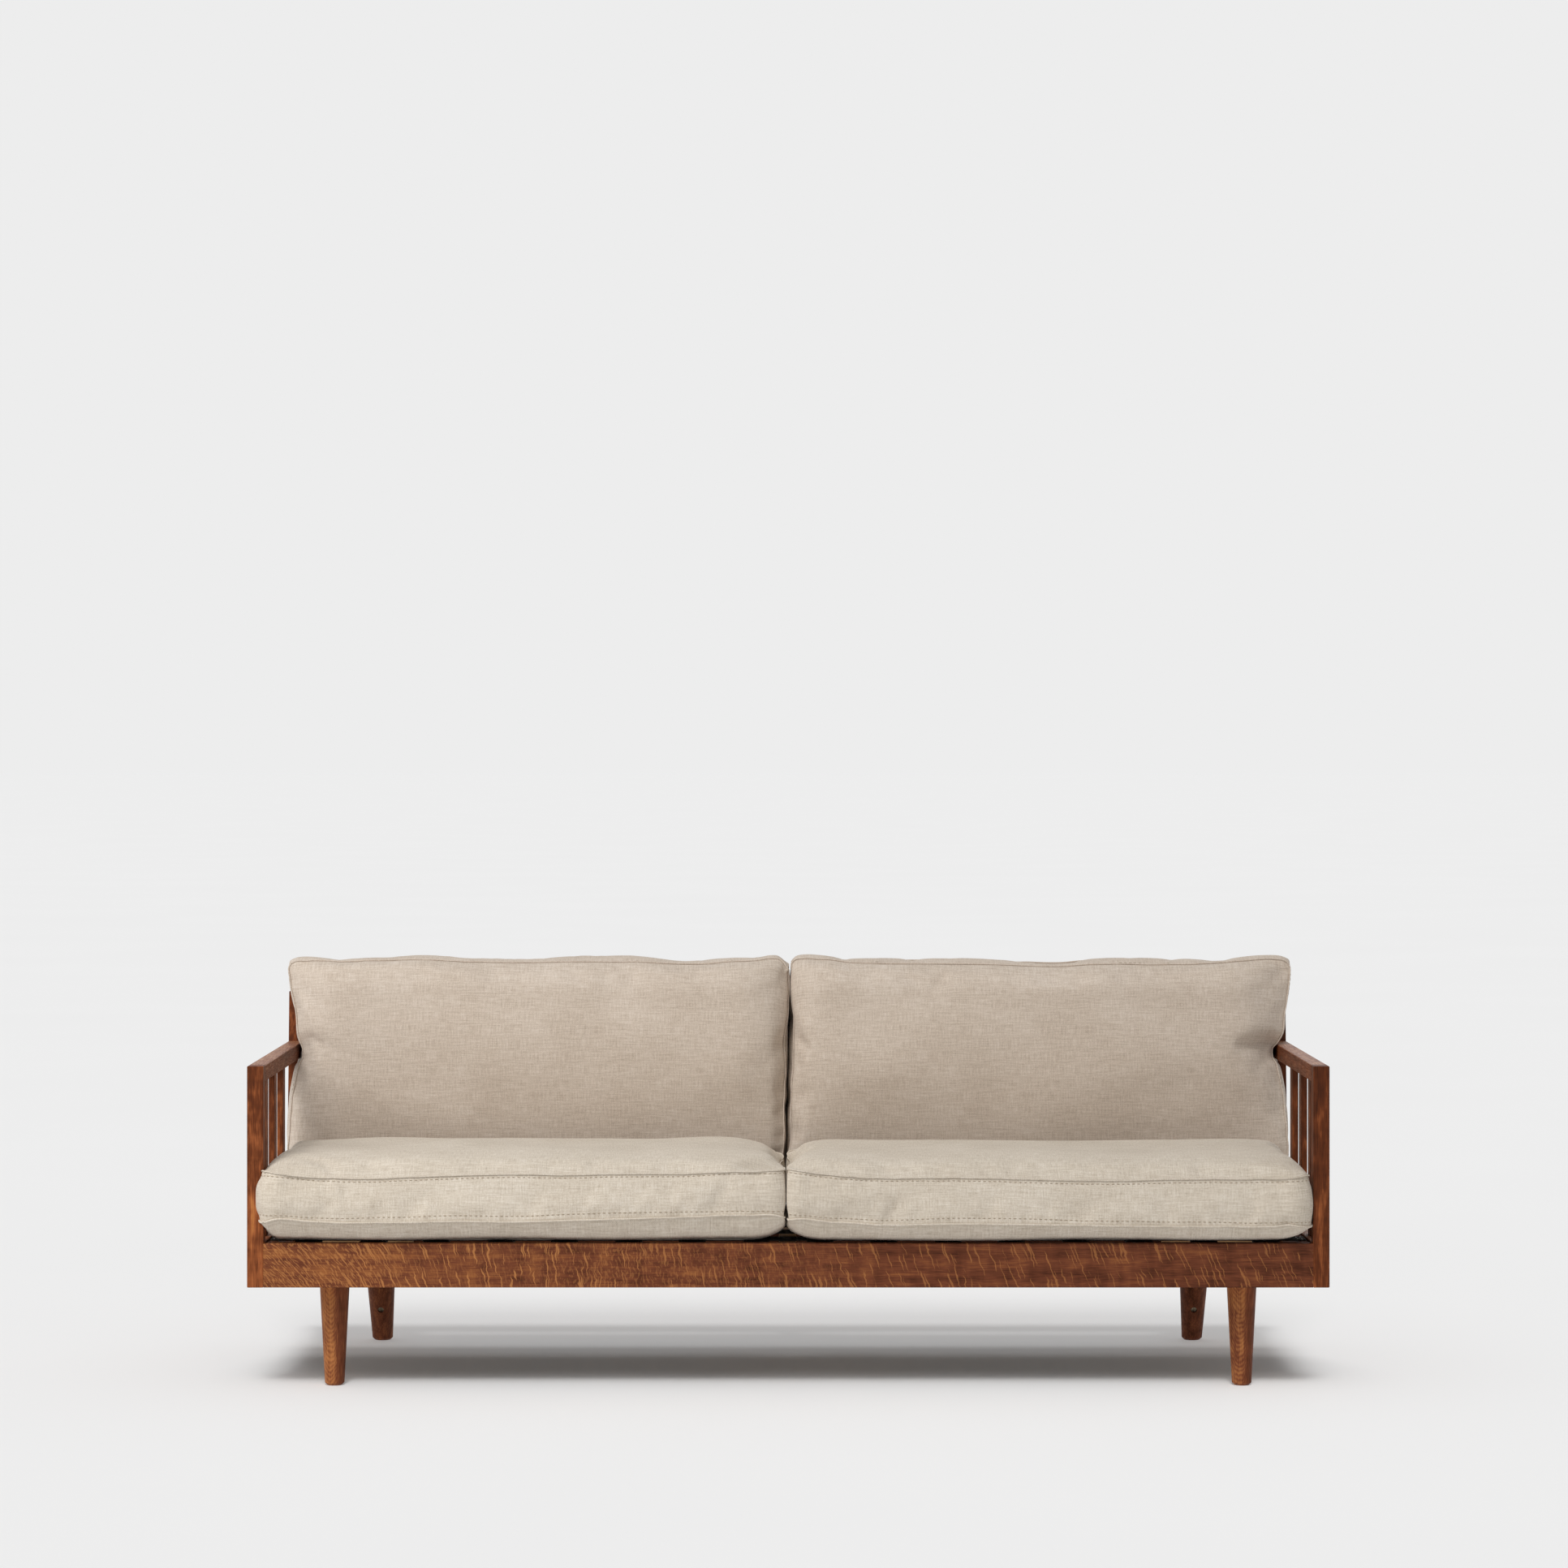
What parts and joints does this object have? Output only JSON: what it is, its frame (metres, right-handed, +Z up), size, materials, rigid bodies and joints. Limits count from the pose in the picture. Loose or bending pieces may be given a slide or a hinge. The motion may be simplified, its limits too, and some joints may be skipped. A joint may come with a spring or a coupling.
{
  "type": "sofa",
  "caption": "Open-frame wooden sofa with slim arms on upright slats, tapered round legs, a slatted leaning back, woven seat webbing and loose boxed seat and back cushions.",
  "frame": {"origin": "middle of the whole sofa's box, on the floor under the feet", "axes": "+X to the right as seen from the front, +Y from the front towards the back, +Z up"},
  "size_m": [2, 0.7513, 0.7753],
  "materials": {
    "oak_frame": "satin",
    "oak_rail": "satin",
    "oak_leg": "satin",
    "beech": "matte",
    "webbing": "matte",
    "zinc_steel": "satin",
    "seat_linen": "matte",
    "back_linen": "matte"
  },
  "bodies": {
    "frame": {"back_lower_rail": "oak_frame", "back_slats": "oak_frame", "back_top_rail": "oak_frame", "barrel_nuts": "zinc_steel", "centre_bearer": "beech", "front_cleat": "beech", "front_rail": "oak_rail", "left_arm_rail": "oak_frame", "left_arm_slats": "oak_frame", "left_back_post": "oak_frame", "left_front_leg": "oak_leg", "left_front_leg_block": "beech", "left_front_post": "oak_frame", "left_rear_leg": "oak_leg", "left_rear_leg_block": "beech", "left_side_cleat": "beech", "left_side_rail": "oak_frame", "leg_bolts": "zinc_steel", "leg_washers": "zinc_steel", "rear_cleat": "beech", "rear_rail": "oak_frame", "right_arm_rail": "oak_frame", "right_arm_slats": "oak_frame", "right_back_post": "oak_frame", "right_front_leg": "oak_leg", "right_front_leg_block": "beech", "right_front_post": "oak_frame", "right_rear_leg": "oak_leg", "right_rear_leg_block": "beech", "right_side_cleat": "beech", "right_side_rail": "oak_frame", "webbing_crosswise": "webbing", "webbing_lengthwise": "webbing"},
    "left_seat_cushion": {"left_seat_cushion": "seat_linen"},
    "left_back_cushion": {"left_back_cushion": "back_linen"},
    "right_seat_cushion": {"right_seat_cushion": "seat_linen"},
    "right_back_cushion": {"right_back_cushion": "back_linen"}
  },
  "joints": [
    {"name": "left_back_lift", "type": "slide", "parent": "frame", "child": "left_back_cushion", "axis": [0, 0.0958, 0.9954], "range_m": [0, 0.56]},
    {"name": "right_back_lift", "type": "slide", "parent": "frame", "child": "right_back_cushion", "axis": [0, 0.0958, 0.9954], "range_m": [0, 0.56]},
    {"name": "left_seat_lift", "type": "slide", "parent": "frame", "child": "left_seat_cushion", "axis": [0, -0.8192, 0.5736], "range_m": [0, 0.6]},
    {"name": "right_seat_lift", "type": "slide", "parent": "frame", "child": "right_seat_cushion", "axis": [0, -0.8192, 0.5736], "range_m": [0, 0.6]}
  ]
}
